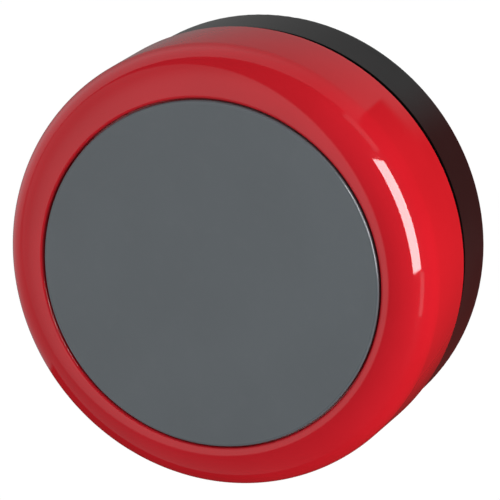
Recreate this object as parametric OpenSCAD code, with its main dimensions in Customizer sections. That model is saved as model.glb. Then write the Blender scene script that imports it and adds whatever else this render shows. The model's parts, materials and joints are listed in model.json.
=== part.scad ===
/* [Overall] */
// Outer diameter of the press cap
cap_d = 90; // [88:1:112]
// Height from the table to the top of the label disc
total_h = 40; // [39:0.5:52]
// Height of the cap's lower rim above the table
rim_h = 16.6; // [16:0.1:18]

/* [Press cap] */
// Wall of the cap's skirt
cap_wall = 2; // [1.6:0.1:2.6]
// Radius of the cap's big top edge
cap_fillet = 8.5; // [5:0.5:9]
// Thickness of the cap under the label disc
cap_floor = 2.2; // [1.8:0.1:3]
// Diameter of the label disc
disc_d = 70.4; // [40:0.2:72]
// Thickness of the label disc
disc_t = 1.6; // [1.2:0.1:2]
// How far the label disc stands above the cap's ring
disc_proud = 0.2; // [0:0.05:0.4]
// Clearance around the label disc
disc_gap = 0.3; // [0.1:0.05:0.5]
// Rounding of the ring's inner edge
ring_round = 0.7; // [0.3:0.1:1]
// Number of stop ribs inside the skirt
stop_ribs = 8; // [4:1:12]

/* [Press action] */
// Travel of the cap
press_travel = 1.5; // [1:0.1:1.5]
// Gap left above a stop when the cap is fully down
stop_gap = 0.1; // [0.05:0.05:0.2]
// Gap between the cap's rim and the base's shoulder at rest
rim_gap = 2; // [1.8:0.1:2.4]
// Radius of the cap's guide posts
post_r = 3; // [2.8:0.1:3.4]
// Running clearance of the posts in the guides, on the radius
post_fit = 0.08; // [0.05:0.01:0.1]
// Distance of the guides from the axis
guide_ring_r = 30; // [29:0.5:33]
// Radius of the guide tubes
guide_r = 6.4; // [6.2:0.1:7]
// Height of the guide tubes above the deck
guide_h = 9; // [8:0.5:10]
// Diameter of a return spring's wire
spring_wire = 0.6; // [0.4:0.1:0.7]
// Middle radius of a return spring's turns
spring_r = 4.4; // [4.2:0.1:5]
// Turns of a return spring
spring_turns = 4.5; // [3.5:0.5:5.5]

/* [Base shell] */
// How much smaller than the cap the base is, on the radius
base_inset = 0.7; // [0.4:0.1:1.2]
// Wall of the base shell
base_wall = 1.8; // [1.6:0.1:2.2]
// Thickness of the base shell's floor
floor_t = 2.2; // [2:0.1:2.4]
// Radius of the base's bottom edge
base_fillet = 1.6; // [0.8:0.1:2]
// Height that the rubber feet hold the base above the table
foot_h = 0.8; // [0.6:0.1:1.2]
// Number of ribs that carry the chassis inside the wall
rest_ribs = 16; // [8:4:24]

/* [Chassis] */
// Thickness of the deck
deck_t = 2.2; // [2:0.1:2.6]
// Height of the deck's top above the cap's rim
deck_rise = 4.9; // [4.5:0.1:5.5]
// Wall of the chassis's neck
neck_wall = 1.8; // [1.6:0.1:2.2]
// How deep the neck sits inside the base shell
neck_depth = 3.6; // [3:0.2:4.4]

/* [Battery bay] */
// Length of a battery over its plus end
cell_l = 44.5; // [44:0.1:45]
// Diameter of a battery
cell_d = 10.5; // [10:0.1:10.6]
// Gap between the two batteries
cell_gap = 0.5; // [0.4:0.1:0.9]
// Room for a compressed contact spring
contact_room = 3.6; // [3.2:0.1:4]
// Wall of the battery bay
bay_wall = 1.8; // [1.2:0.1:2]
// Thickness of the battery door
door_t = 2; // [1.8:0.1:2]
// Clearance around the battery door
door_gap = 0.3; // [0.2:0.05:0.4]

/* [Speaker] */
// Diameter of the speaker
speaker_d = 36; // [28:1:38]
// Height of the speaker over its magnet
speaker_h = 9.4; // [8:0.2:10]
// Radius of one sound hole in the floor
sound_hole_r = 1; // [0.6:0.1:1.2]
// Rings of sound holes around the middle one
sound_rings = 3; // [1:1:3]

/* [Circuit board] */
// Length of the board
board_l = 44; // [42:1:46]
// Width of the board
board_w = 28; // [26:1:29]
// Thickness of the board
board_t = 1.6; // [1:0.1:1.8]
// Height of the board above the deck
board_rise = 3; // [2.5:0.5:3.5]
// Height of the dome switch
dome_h = 5; // [4.6:0.1:5.4]

/* [Power switch] */
// Length of the switch's case
switch_l = 11.6; // [10:0.2:12]
// Width of the switch's case
switch_w = 6; // [5:0.2:6.4]
// Height of the switch's case
switch_h = 4.6; // [4:0.2:5]
// Travel of the switch's lever
switch_travel = 2; // [1.5:0.1:2.4]

/* [Feet and screws] */
// Radius of a rubber foot
foot_r = 4.4; // [4:0.1:4.6]
// Thickness of a rubber foot
foot_t = 1.6; // [1.4:0.1:2]
// Radius of a housing screw's shank
screw_r = 1.3; // [1:0.1:1.5]
// Length of a housing screw's shank
screw_l = 14; // [12:0.5:16]
// Radius of the screws that hold the board, speaker and switch
small_screw_r = 0.9; // [0.7:0.1:1]

/* [Hidden] */
$fn = 96;

// A little length by which shapes of one piece run into each other
bite = 0.2;
// Clearance that a screw's shank has in the hole it cuts its thread in
thread_gap = 0.03;
// Clearance that a screw's shank has in a hole it only passes
shank_gap = 0.25;
// Clearance between stacked parts that are pushed together by hand
seat_gap = 0.1;
// Clearance around a screw's head
head_gap = 0.3;

// Press cap
cap_r = cap_d / 2;
cap_in_r = cap_r - cap_wall;
ring_z = total_h - disc_proud;
disc_z = total_h - disc_t;
cap_in_z = disc_z - cap_floor;
pocket_r = disc_d / 2 + disc_gap;
skirt_round = 0.4;
cap_in_fillet = max(cap_fillet - cap_wall, 1);
disc_round = 0.35;
rib_t = 1.6;

// Base shell
base_r = cap_r - base_inset;
base_in_r = base_r - base_wall;
base_z = foot_h;
floor_z = base_z + floor_t;
shoulder_z = rim_h - rim_gap;
shoulder_round = 0.4;

// Heights of the battery bay
cell_lift = 0.5;
cell_head_gap = 0.4;
tab_stand = 1.6;
door_top_z = base_z + door_t;
cell_z = door_top_z + cell_lift + cell_d / 2;
bay_roof_z = cell_z + cell_d / 2 + cell_head_gap;
bay_top_z = bay_roof_z + bay_wall;
plate_top_z = bay_top_z + tab_stand;

// Chassis, whose deck clears the battery wires over the contacts' tabs
wire_r = 0.6;
wire_room = 1.5;
deck_low_z = max(rim_h + deck_rise - deck_t, plate_top_z + wire_room);
deck_z = deck_low_z + deck_t;
neck_r = base_in_r - seat_gap;
neck_in_r = neck_r - neck_wall;
neck_z = shoulder_z - neck_depth;
guide_top_z = deck_z + guide_h;
guide_angles = [45, 135, 225, 315];

// Cap guide screws and washers
washer_r = 4.6;
washer_t = 0.6;
washer_gap = 0.15;
guide_screw_l = 8;
guide_screw_r = 1.3;
guide_head_r = 2.6;
guide_head_h = 1.8;
post_z = guide_top_z - 5;
guide_step_z = post_z + washer_gap;
washer_pocket_r = washer_r + head_gap;

// Housing screws and feet
boss_r = 3.5;
neck_gap = 0.3;
boss_ring_r = neck_in_r - boss_r - neck_gap;
boss_angles = [0, 90, 180, 270];
head_r = 2.5;
head_h = 1.8;
head_seat_z = deck_low_z - screw_l / 2 - 0.5;
head_pocket_r = head_r + head_gap;
foot_pocket_r = foot_r + 0.15;
foot_pocket_z = foot_t;

// Battery bay, placed so that its door stays clear of the rear foot
plate_t = 0.4;
end_gap = 0.1;
door_lip = 0.6;
foot_wall = 0.8;
cell_pitch = cell_d + cell_gap;
bay_l = cell_l + contact_room + 2 * plate_t + end_gap;
bay_w = cell_pitch + cell_d + 0.5;
bay_rear_y = -(boss_ring_r - foot_pocket_r - foot_wall - door_gap - door_lip);
bay_y = bay_rear_y + bay_w / 2;
bay_front_y = bay_rear_y + bay_w;
plate_w = 9;
tab_w = 2.6;
cap_nub_r = 1.9;
cap_nub_h = 1;
door_l = bay_l + 2 * door_lip;
door_w = bay_w + 2 * door_lip;
ear_r = 4.4;
ear_x = bay_l / 2 + bay_wall + 3.9;
collar_r = 3.4;
ear_boss_r = collar_r + door_gap + 1;
ear_boss_z = base_z + 12;
collar_h = 1.4;
door_screw_r = 1.1;
door_screw_l = 7;
door_head_h = 1.4;
door_head_r = 2.2;
door_head_z = base_z + 0.4;

// Speaker, placed between the bay and the front housing screw's boss
speaker_r = speaker_d / 2;
gasket_t = 0.8;
speaker_z = floor_z + gasket_t;
flange_t = 1;
flange_w = 3;
basket_r = speaker_r - flange_w;
basket_h = 5;
yoke_t = 1.2;
magnet_r = basket_r * 0.6;
speaker_ring_gap = 0.3;
speaker_ring_t = 1.5;
speaker_ring_r = speaker_r + speaker_ring_gap + speaker_ring_t;
front_room = boss_ring_r - boss_r - 0.3;
bay_side = bay_front_y + bay_wall;
speaker_y = (front_room + bay_side) / 2;
clip_angles = [42, 138, 222, 318];
clip_boss_r = 2.4;
clip_ring_r = speaker_r + speaker_ring_gap + clip_boss_r + 0.25;
clip_t = 0.8;
clip_z = speaker_z + flange_t;
sound_pitch = 4;

// Circuit board
board_z = deck_z + board_rise;
board_top_z = board_z + board_t;
board_screw_x = board_l / 2 - 3;
board_screw_y = board_w / 2 - 3;
board_post_r = 2.4;
small_head_r = 1.8;
small_head_h = 1.1;
dome_top_z = board_top_z + dome_h;
pill_t = 0.6;
pill_r = 2.5;
pill_z = board_top_z + press_travel + 0.05;
key_r = 4;
plunger_r = 4;

// Power switch
switch_x = (speaker_ring_r + boss_ring_r - boss_r) / 2 + 1.1;
switch_y = speaker_y - 3.5;
switch_z = floor_z + 1;
ear_t = 0.8;
switch_hole = switch_l / 2 + 2;
switch_ear_l = switch_l / 2 + 4;
lever_l = 2.6;
lever_w = 2;
lever_gap = 0.25;
dish_t = 1.1;
pin_h = 2.6;
pin_pitch = 3.2;

// Wires
// Clearance between a wire's end and the pin that it is soldered to
solder_gap = 0.3;
wire_hole_x = 28.5;
wire_hole_l = 7;
wire_hole_w = 12;
// Where the speaker's and the battery's wires pass the switch's own wire on its inner side
wire_lane_x = min(wire_hole_x - 1, switch_x - 0.15);

/* Profiles and small shared shapes */

// Half outline of a drum, round at its lower and upper outer edges
module drum_outline(r, z0, z1, low_round, high_round) {
    translate([0, z0 + low_round]) square([r, z1 - z0 - low_round - high_round]);
    translate([0, z0]) square([r - low_round, low_round + bite]);
    translate([0, z1 - high_round - bite]) square([r - high_round, high_round + bite]);
    translate([r - low_round, z0 + low_round]) circle(low_round);
    translate([r - high_round, z1 - high_round]) circle(high_round);
}

// What repeats at the given angles on a ring
module at_ring(r, angles) {
    for (a = angles) rotate(a) translate([r, 0, 0]) children();
}

// A cylinder from one height to another
module post(r, z0, z1) {
    translate([0, 0, z0]) cylinder(r = r, h = z1 - z0);
}

// A box from one corner to the other
module block(low, high) {
    translate(low) cube(high - low);
}

// A tube from one height to another
module tube(r_out, r_in, z0, z1) {
    difference() {
        post(r_out, z0, z1);
        post(r_in, z0 - bite, z1 + bite);
    }
}

// A pan head screw whose head lies under seat_z and whose shank points up
module screw_up(r, l, head_radius, head_height, seat_z) {
    difference() {
        union() {
            post(r, seat_z - bite, seat_z + l);
            post(head_radius, seat_z - head_height, seat_z);
        }
        cross_recess(head_radius, seat_z - head_height);
    }
}

// A pan head screw whose head lies on seat_z and whose shank points down
module screw_down(r, l, head_radius, head_height, seat_z) {
    difference() {
        union() {
            post(r, seat_z - l, seat_z + bite);
            post(head_radius, seat_z, seat_z + head_height);
        }
        cross_recess(head_radius, seat_z + head_height);
    }
}

// The cross cut into a screw's head at height z
module cross_recess(head_radius, z) {
    arm = head_radius * 0.6;
    slot = head_radius * 0.12;
    deep = head_radius * 0.3;
    block([-arm, -slot, z - deep], [arm, slot, z + deep]);
    block([-slot, -arm, z - deep], [slot, arm, z + deep]);
}

function unit(v) = v / norm(v);

// The direction of a route at point i
function heading(p, i) = unit(p[min(i + 1, len(p) - 1)] - p[max(i - 1, 0)]);

// A point of the ring around point i of a route
function ring_point(p, i, r, k, n, up) = let(
        t = heading(p, i),
        side = unit(cross(t, up)),
        top = cross(side, t),
        a = 360 * k / n)
    p[i] + r * (cos(a) * side + sin(a) * top);

// A round sweep with n sides along a list of points, never parallel to up
module sweep(p, r, n, up) {
    last = len(p) - 1;
    polyhedron(
        points = [for (i = [0 : last]) for (k = [0 : n - 1]) ring_point(p, i, r, k, n, up)],
        faces = concat(
            [[for (k = [0 : n - 1]) k]],
            [for (i = [0 : last - 1]) for (k = [0 : n - 1])
                [i * n + k, (i + 1) * n + k, (i + 1) * n + (k + 1) % n, i * n + (k + 1) % n]],
            [[for (k = [n - 1 : -1 : 0]) last * n + k]]));
}

// A smooth curve through a route's points, with a few steps between each two
function smooth_at(p, i, t) = let(
        a = p[max(i - 1, 0)],
        b = p[i],
        c = p[i + 1],
        d = p[min(i + 2, len(p) - 1)])
    0.5 * (2 * b + (c - a) * t + (2 * a - 5 * b + 4 * c - d) * t * t
        + (3 * b - a - 3 * c + d) * t * t * t);
function smooth_route(p, steps) = concat(
    [for (i = [0 : len(p) - 2]) for (s = [0 : steps - 1]) smooth_at(p, i, s / steps)],
    [p[len(p) - 1]]);

spring_sides = 6;
wire_sides = 8;
steps_per_turn = 12;

// A coil of round wire from z0 to z1 whose radius runs from r0 to r1
module coil(r0, r1, wire, turns, z0, z1) {
    steps = turns * steps_per_turn;
    low = z0 + wire / 2;
    high = z1 - wire / 2;
    sweep([for (i = [0 : steps]) let(
            a = 360 * i / steps_per_turn,
            f = i / steps,
            r = r0 + (r1 - r0) * f)
        [r * cos(a), r * sin(a), low + (high - low) * f]], wire / 2, spring_sides, [0, 0, 1]);
}

/* Press cap */

module cap_shell() {
    rotate_extrude() difference() {
        drum_outline(cap_r, rim_h, ring_z, skirt_round, cap_fillet);
        drum_outline(cap_in_r, rim_h - 2 * cap_wall, cap_in_z, skirt_round, cap_in_fillet);
        translate([0, disc_z]) square([pocket_r, total_h - disc_z]);
        // rolled inner edge of the ring
        difference() {
            translate([pocket_r - bite, ring_z - ring_round])
                square([ring_round + bite, ring_round + bite]);
            translate([pocket_r + ring_round, ring_z - ring_round]) circle(ring_round);
        }
    }
}

// Ribs inside the cap, its thread holes are a little deeper than their screws
cross_rib_h = 1.2;
hole_spare = 0.5;

module press_cap() {
    plunger_ring_gap = 2.8;
    plunger_ring_t = 1.2;
    plunger_ring_h = 1.5;
    stop_rib_w = 3.2;
    cross_rib_start = plunger_r + 3.5;
    color("crimson") difference() {
        union() {
            cap_shell();
            at_ring(guide_ring_r, guide_angles) post(post_r, post_z, cap_in_z + bite);
            post(plunger_r, dome_top_z, cap_in_z + bite);
            // stiffening ring around the plunger
            tube(plunger_r + plunger_ring_gap + plunger_ring_t, plunger_r + plunger_ring_gap,
                cap_in_z - plunger_ring_h, cap_in_z + bite);
            // stop ribs inside the skirt
            intersection() {
                for (i = [0 : stop_ribs - 1]) rotate((i + 0.5) * 360 / stop_ribs)
                    block([cap_in_r - stop_rib_w, -rib_t / 2, deck_z + press_travel + stop_gap],
                        [cap_in_r + bite, rib_t / 2, cap_in_z + bite]);
                post(cap_r - cap_wall / 2, rim_h, ring_z - cap_fillet);
            }
            // cross of ribs under the top
            for (a = guide_angles) rotate(a)
                block([cross_rib_start, -rib_t / 2, cap_in_z - cross_rib_h],
                    [guide_ring_r, rib_t / 2, cap_in_z + bite]);
        }
        at_ring(guide_ring_r, guide_angles)
            post(guide_screw_r + thread_gap, post_z - bite, post_z + guide_screw_l + hole_spare);
    }
}

module label_disc() {
    disc_low_round = 0.15;
    color("dimgray") rotate_extrude()
        drum_outline(disc_d / 2, disc_z, total_h, disc_low_round, disc_round);
}

module guide_screws() {
    color("silver") at_ring(guide_ring_r, guide_angles)
        screw_up(guide_screw_r, guide_screw_l, guide_head_r, guide_head_h, post_z - washer_t);
}

module guide_washers() {
    color("gainsboro") at_ring(guide_ring_r, guide_angles)
        tube(washer_r, guide_screw_r + shank_gap, post_z - washer_t, post_z);
}

module return_springs() {
    color("lightgray") at_ring(guide_ring_r, guide_angles)
        coil(spring_r, spring_r, spring_wire, spring_turns, guide_top_z,
            cap_in_z - cross_rib_h);
}

/* Chassis */

// The chassis's screw bosses stand on those of the base
boss_drop = 3;

module chassis() {
    neck_low_round = 0.3;
    deck_round = 0.5;
    boss_rise = 2.4;
    board_hole_depth = deck_z - 0.6;
    color("#242626") difference() {
        union() {
            rotate_extrude() difference() {
                drum_outline(neck_r, neck_z, deck_z, neck_low_round, deck_round);
                translate([0, neck_z - bite]) square([neck_in_r, deck_low_z - neck_z + bite]);
            }
            at_ring(guide_ring_r, guide_angles) post(guide_r, deck_low_z, guide_top_z);
            at_ring(boss_ring_r, boss_angles) 
                post(boss_r, deck_low_z - boss_drop, deck_z + boss_rise);
            for (x = [-1, 1]) for (y = [-1, 1]) translate([x * board_screw_x, y * board_screw_y, 0])
                post(board_post_r, deck_z - bite, board_z);
        }
        at_ring(guide_ring_r, guide_angles) {
            post(post_r + post_fit, deck_low_z - bite, guide_top_z + bite);
            post(washer_pocket_r, deck_low_z - bite, guide_step_z);
        }
        at_ring(boss_ring_r, boss_angles)
            post(screw_r + thread_gap, deck_low_z - boss_drop - 1, head_seat_z + screw_l + hole_spare);
        for (x = [-1, 1]) for (y = [-1, 1]) translate([x * board_screw_x, y * board_screw_y, 0])
            post(small_screw_r + thread_gap, board_hole_depth, board_z + bite);
        // way for the wires
        block([wire_hole_x - wire_hole_l / 2, -wire_hole_w / 2, deck_low_z - bite],
            [wire_hole_x + wire_hole_l / 2, wire_hole_w / 2, deck_z + bite]);
    }
}

/* Base shell */

module base_tub() {
    floor_round = 0.8;
    rotate_extrude() difference() {
        drum_outline(base_r, base_z, shoulder_z, base_fillet, shoulder_round);
        drum_outline(base_in_r, floor_z, shoulder_z + 2 * bite + 1, floor_round, bite);
    }
}

module door_outline(grow, z0, z1) {
    block([-door_l / 2 - grow, bay_y - door_w / 2 - grow, z0],
        [door_l / 2 + grow, bay_y + door_w / 2 + grow, z1]);
    for (x = [-1, 1]) {
        translate([x * ear_x, bay_y, 0]) post(ear_r + grow, z0, z1);
        block([min(x * ear_x, 0), bay_y - ear_r - grow, z0], [max(x * ear_x, 0), bay_y + ear_r + grow, z1]);
    }
}

module bay_block(grow, z0, z1) {
    block([-bay_l / 2 - grow, bay_rear_y - grow, z0], [bay_l / 2 + grow, bay_front_y + grow, z1]);
}

module sound_holes() {
    first_ring = 6;
    translate([0, speaker_y, 0]) {
        post(sound_hole_r, base_z - bite, floor_z + bite);
        for (ring = [1 : sound_rings]) for (i = [0 : first_ring * ring - 1])
            rotate(i * 360 / (first_ring * ring)) translate([ring * sound_pitch, 0, 0])
                post(sound_hole_r, base_z - bite, floor_z + bite);
    }
}

module base_shell() {
    ear_boss_start = base_z + 0.5;
    speaker_ring_drop = 0.4;
    switch_post_r = 1.9;
    rest_rib_w = 1.6;
    tab_side_gap = 0.2;
    tab_way_t = 0.6;
    clip_hole_l = 2.2;
    switch_hole_l = 1.2;
    dish_side = 2;
    dish_end = 2.5;
    slide_l = switch_travel / 2 + lever_l / 2;
    color("#2b2d2d") difference() {
        union() {
            base_tub();
            // the bay and the door's screw bosses are cut back to clear the neck
            intersection() {
                union() {
                    bay_block(bay_wall, floor_z - bite, bay_top_z);
                    for (x = [-1, 1]) translate([x * ear_x, bay_y, 0])
                        post(ear_boss_r, ear_boss_start, ear_boss_z);
                }
                post(neck_in_r - neck_gap, base_z, bay_top_z + bite);
            }
            at_ring(boss_ring_r, boss_angles) post(boss_r, floor_z - bite, deck_low_z - boss_drop);
            translate([0, speaker_y, 0]) {
                tube(speaker_ring_r, speaker_r + speaker_ring_gap, floor_z - bite,
                    clip_z - speaker_ring_drop);
                at_ring(clip_ring_r, clip_angles) post(clip_boss_r, floor_z - bite, clip_z);
            }
            for (y = [-1, 1]) translate([switch_x, switch_y + y * switch_hole, 0])
                post(switch_post_r, floor_z - bite, switch_z);
            // ribs that carry the chassis's neck
            for (i = [0 : rest_ribs - 1]) rotate((i + 0.5) * 360 / rest_ribs)
                block([base_in_r - rest_rib_w, -rib_t / 2, floor_z - bite],
                    [base_in_r + bite, rib_t / 2, neck_z]);
        }
        at_ring(boss_ring_r, boss_angles) {
            post(foot_pocket_r, base_z - bite, foot_pocket_z);
            post(head_pocket_r, base_z - bite, head_seat_z);
            post(screw_r + shank_gap, base_z, deck_low_z);
        }
        // seat of the battery door
        door_outline(door_gap, base_z - bite, door_top_z + seat_gap);
        for (x = [-1, 1]) translate([x * ear_x, bay_y, 0]) {
            post(collar_r + door_gap, base_z, door_top_z + collar_h + seat_gap);
            post(door_screw_r + thread_gap, base_z, door_head_z + door_head_h + door_screw_l + hole_spare);
        }
        bay_block(0, base_z, bay_roof_z);
        // ways for the contacts' tabs
        for (c = contact_places) translate([c[0], c[1], 0])
            block([-tab_way_t / 2, -tab_w / 2 - tab_side_gap, bay_roof_z - bite],
                [tab_way_t / 2, tab_w / 2 + tab_side_gap, bay_top_z + bite]);
        sound_holes();
        translate([0, speaker_y, 0]) at_ring(clip_ring_r, clip_angles)
            post(small_screw_r + thread_gap, clip_z - clip_hole_l, clip_z + bite);
        for (y = [-1, 1]) translate([switch_x, switch_y + y * switch_hole, 0])
            post(small_screw_r + thread_gap, floor_z - switch_hole_l, switch_z + bite);
        // thumb dish and slot of the power switch
        translate([switch_x, switch_y, 0]) {
            block([-lever_w / 2 - dish_side, -slide_l - dish_end, base_z - bite],
                [lever_w / 2 + dish_side, slide_l + dish_end, base_z + dish_t]);
            block([-lever_w / 2 - lever_gap, -slide_l - lever_gap, base_z],
                [lever_w / 2 + lever_gap, slide_l + lever_gap, floor_z + bite]);
        }
    }
}

module rubber_feet() {
    foot_round = 0.4;
    foot_top_round = 0.1;
    color("black") at_ring(boss_ring_r, boss_angles) rotate_extrude()
        drum_outline(foot_r, 0, foot_pocket_z, foot_round, foot_top_round);
}

module housing_screws() {
    color("silver") at_ring(boss_ring_r, boss_angles)
        screw_up(screw_r, screw_l, head_r, head_h, head_seat_z);
}

/* Circuit board */

module circuit_board() {
    color("seagreen") difference() {
        block([-board_l / 2, -board_w / 2, board_z], [board_l / 2, board_w / 2, board_top_z]);
        for (x = [-1, 1]) for (y = [-1, 1]) translate([x * board_screw_x, y * board_screw_y, 0])
            post(small_screw_r + shank_gap, board_z - bite, board_top_z + bite);
    }
}

module board_screws() {
    grip = board_t + board_rise + 0.4;
    color("silver") for (x = [-1, 1]) for (y = [-1, 1])
        translate([x * board_screw_x, y * board_screw_y, 0])
            screw_down(small_screw_r, grip, small_head_r, small_head_h, board_top_z);
}

module sound_chip() {
    chip_place = [-13, -3.5, board_top_z];
    drop_r = 4;
    drop_h = 1.6;
    ball_r = (drop_r * drop_r + drop_h * drop_h) / (2 * drop_h);
    color("#101010") translate(chip_place) intersection() {
        translate([0, 0, drop_h - ball_r]) sphere(ball_r);
        cylinder(r = drop_r + 1, h = drop_h + 1);
    }
}

module capacitor() {
    can_r = 2.5;
    can_h = 6;
    can_low_round = 0.3;
    can_round = 0.4;
    can_place = [12.5, -7, 0];
    color("#20304a") translate(can_place) rotate_extrude()
        drum_outline(can_r, board_top_z, board_top_z + can_h, can_low_round, can_round);
}

module transistor() {
    body_r = 2.3;
    body_h = 4;
    flat_y = -1.3;
    lead_h = 1.4;
    lead_pitch = 1.2;
    lead_t = 0.5;
    lead_in = 0.2;
    place = [-12, 6.5, 0];
    top_z = board_top_z + lead_h + body_h;
    color("#181818") translate(place) union() {
        difference() {
            post(body_r, board_top_z + lead_h, top_z);
            block([-body_r - 1, -body_r - 1, board_top_z], [body_r + 1, flat_y, top_z + 1]);
        }
        for (x = [-1 : 1]) block([x * lead_pitch - lead_t / 2, -lead_t / 2, board_top_z],
            [x * lead_pitch + lead_t / 2, lead_t / 2, board_top_z + lead_h + lead_in]);
    }
}

module resistors() {
    body_r = 0.95;
    body_l = 5.2;
    lead_r = 0.3;
    bend = body_l / 2 + 0.8;
    lead_in = 0.4;
    overrun = 0.2;
    pitch = 3.2;
    first = [9, 6.5, board_top_z + 1];
    color("tan") for (i = [0 : 2]) translate(first + [pitch * i, 0, 0]) {
        rotate([90, 0, 0]) cylinder(r = body_r, h = body_l, center = true);
        for (y = [-1, 1]) {
            rotate([90 * y, 0, 0]) translate([0, 0, -bend - overrun])
                cylinder(r = lead_r, h = bend + overrun - body_l / 2 + lead_in);
            translate([0, y * bend, -1]) cylinder(r = lead_r, h = 1 + lead_r);
        }
    }
}

module dome_switch() {
    foot_r = 7;
    foot_h = 1.2;
    web_r = 6;
    web_low_z = board_top_z + 1;
    web_top_z = dome_top_z - 1.2;
    web_top_r = key_r + 0.4;
    key_h = 1.4;
    hollow_r = 5;
    hollow_h = 0.6;
    hollow_top_r = key_r - 0.6;
    color("whitesmoke") rotate_extrude() difference() {
        union() {
            translate([0, board_top_z]) square([foot_r, foot_h]);
            polygon([[0, web_low_z], [web_r, web_low_z], [web_top_r, web_top_z], [0, web_top_z]]);
            translate([0, dome_top_z - key_h]) square([key_r, key_h]);
        }
        polygon([[0, board_top_z - bite], [hollow_r, board_top_z - bite],
            [hollow_r, board_top_z + hollow_h], [hollow_top_r, pill_z + pill_t], [0, pill_z + pill_t]]);
    }
}

module contact_pill() {
    color("#303030") post(pill_r, pill_z, pill_z + pill_t);
}

/* Speaker */

module speaker_basket() {
    skin = 0.8;
    back_hole_r = magnet_r - 1.5;
    window_w = 8;
    window_rim = 0.6;
    window_top = 1.2;
    color("lightsteelblue") translate([0, speaker_y, 0]) difference() {
        union() {
            post(speaker_r, speaker_z, speaker_z + flange_t);
            post(basket_r, speaker_z, speaker_z + basket_h);
        }
        post(basket_r - skin, speaker_z - bite, speaker_z + basket_h - skin);
        post(back_hole_r, speaker_z, speaker_z + basket_h + bite);
        // windows in the basket's side
        for (i = [0 : 3]) rotate(i * 90)
            block([basket_r - 3, -window_w / 2, speaker_z + flange_t + window_rim],
                [basket_r + 1, window_w / 2, speaker_z + basket_h - window_top]);
    }
}

module speaker_magnet() {
    yoke_r = magnet_r - 0.6;
    yoke_z = speaker_z + speaker_h - yoke_t;
    color("#3a3a3c") translate([0, speaker_y, 0]) {
        post(magnet_r, speaker_z + basket_h, yoke_z);
        post(yoke_r, yoke_z - bite, speaker_z + speaker_h);
    }
}

module speaker_cone() {
    cone_r = basket_r - 1;
    rim_w = 1.6;
    coil_r = magnet_r * 0.55;
    cone_h = 2.8;
    coil_top_h = basket_h - 0.4;
    skin = 0.4;
    color("#26241f") translate([0, speaker_y, speaker_z]) rotate_extrude() {
        // rim glued to the basket, cone, voice coil former and dust cap
        polygon([[cone_r, skin], [cone_r, 2 * skin], [cone_r - rim_w, 2 * skin], [coil_r, cone_h],
            [coil_r, coil_top_h], [coil_r - skin, coil_top_h], [coil_r - skin, cone_h],
            [0, cone_h], [0, cone_h - skin], [coil_r - skin, cone_h - skin],
            [cone_r - rim_w, skin]]);
    }
}

strip_t = 1.2;

module speaker_terminals() {
    strip_w = 6.8;
    strip_gap = 0.05;
    strip_top = 0.4;
    color("peru") translate([basket_r + strip_gap, speaker_y, 0])
        block([0, -strip_w / 2, speaker_z + flange_t],
            [strip_t, strip_w / 2, speaker_z + basket_h - strip_top]);
}

module speaker_gasket() {
    gasket_w = 3.2;
    color("#404040") translate([0, speaker_y, 0])
        tube(speaker_r, speaker_r - gasket_w, floor_z, speaker_z);
}

module speaker_clips() {
    clip_reach = 1.8;
    clip_w = 4.4;
    color("silver") translate([0, speaker_y, 0]) at_ring(clip_ring_r, clip_angles) difference() {
        block([-clip_boss_r - clip_reach, -clip_w / 2, clip_z], [clip_boss_r, clip_w / 2, clip_z + clip_t]);
        post(small_screw_r + shank_gap, clip_z - bite, clip_z + clip_t + bite);
    }
}

module speaker_screws() {
    color("silver") translate([0, speaker_y, 0]) at_ring(clip_ring_r, clip_angles)
        screw_down(small_screw_r, clip_t + 2, small_head_r, small_head_h, clip_z + clip_t);
}

/* Batteries and their contacts */

// x of the plates, y, and whether the plus end of a battery meets them
front_cell_y = bay_y + cell_pitch / 2;
rear_cell_y = bay_y - cell_pitch / 2;
plate_x = bay_l / 2 - plate_t / 2;
contact_places = [[plate_x, front_cell_y], [plate_x, rear_cell_y], [-plate_x, bay_y]];

// A battery whose plus end points to +X or, with side -1, to -X
module battery(y, side) {
    groove_h = 0.3;
    groove_in_r = cap_nub_r + 0.9;
    groove_r = cell_d / 2 - 0.8;
    tip = bay_l / 2 - plate_t;
    translate([0, y, cell_z]) rotate([0, side * 90, 0]) difference() {
        union() {
            translate([0, 0, tip - cell_l]) cylinder(r = cell_d / 2, h = cell_l - cap_nub_h);
            translate([0, 0, tip - cap_nub_h - bite]) cylinder(r = cap_nub_r, h = cap_nub_h + bite);
        }
        // groove at the plus end's rim
        translate([0, 0, tip - cap_nub_h - groove_h]) difference() {
            cylinder(r = groove_r, h = groove_h + bite);
            translate([0, 0, -bite]) cylinder(r = groove_in_r, h = 1);
        }
    }
}

module battery_1() {
    color("goldenrod") battery(front_cell_y, 1);
}

module battery_2() {
    color("goldenrod") battery(rear_cell_y, -1);
}

// A contact plate at the bay's end, with a tab through the roof
module contact_plate(x, y, width) {
    door_room = 0.8;
    z0 = door_top_z + door_room;
    block([x - plate_t / 2, y - width / 2, z0], [x + plate_t / 2, y + width / 2, bay_roof_z]);
    block([x - plate_t / 2, y - tab_w / 2, bay_roof_z - bite],
        [x + plate_t / 2, y + tab_w / 2, plate_top_z]);
}

module bridge_contact() {
    color("silver") contact_plate(-plate_x, bay_y, cell_pitch + plate_w);
}

module plus_contact() {
    color("silver") contact_plate(plate_x, front_cell_y, plate_w);
}

module minus_contact() {
    color("silver") contact_plate(plate_x, rear_cell_y, plate_w);
}

module contact_springs() {
    tip_r = 2.2;
    foot_r = 3.6;
    contact_wire = 0.6;
    contact_turns = 3;
    seat = bay_l / 2 - plate_t;
    span = bay_l - 2 * plate_t - cell_l;
    color("silver") for (c = [[front_cell_y, -1], [rear_cell_y, 1]])
        translate([0, c[0], cell_z]) rotate([0, c[1] * 90, 0])
            coil(tip_r, foot_r, contact_wire, contact_turns, seat - span, seat);
}

/* Battery door */

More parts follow.
